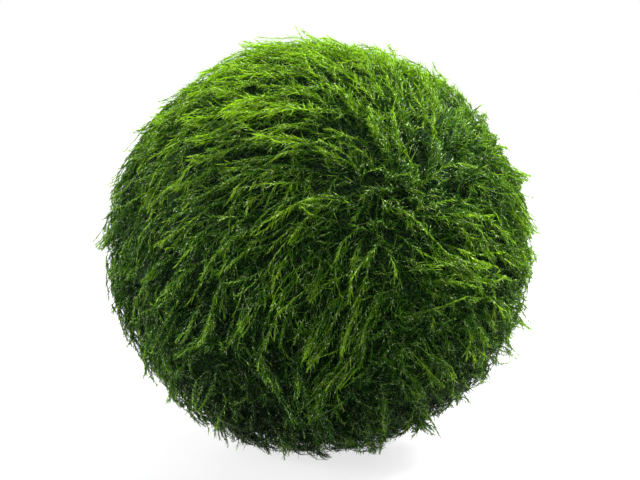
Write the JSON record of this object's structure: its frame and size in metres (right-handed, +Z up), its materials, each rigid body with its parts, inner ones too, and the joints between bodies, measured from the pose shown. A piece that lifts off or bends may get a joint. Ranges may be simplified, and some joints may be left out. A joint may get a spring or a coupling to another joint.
{
  "type": "marimo moss ball",
  "caption": "Ball of green freshwater alga whose fine branching threads fan out in overlapping feathery sprays, at rest on a small flat spot underneath.",
  "frame": {"origin": "middle of the flat spot under the ball, on the plane that it rests on", "axes": "+Z up through the ball's middle, -Y towards the front, where the main whorl of sprays is, +X to the right as seen from the front"},
  "size_m": [0.05, 0.05, 0.0481],
  "materials": {
    "wet_moss": "soft wet threads, dark green in the gaps and yellow-green towards the tips, with small wet glints"
  },
  "bodies": {
    "root": {"moss_ball": "wet_moss"}
  },
  "joints": []
}
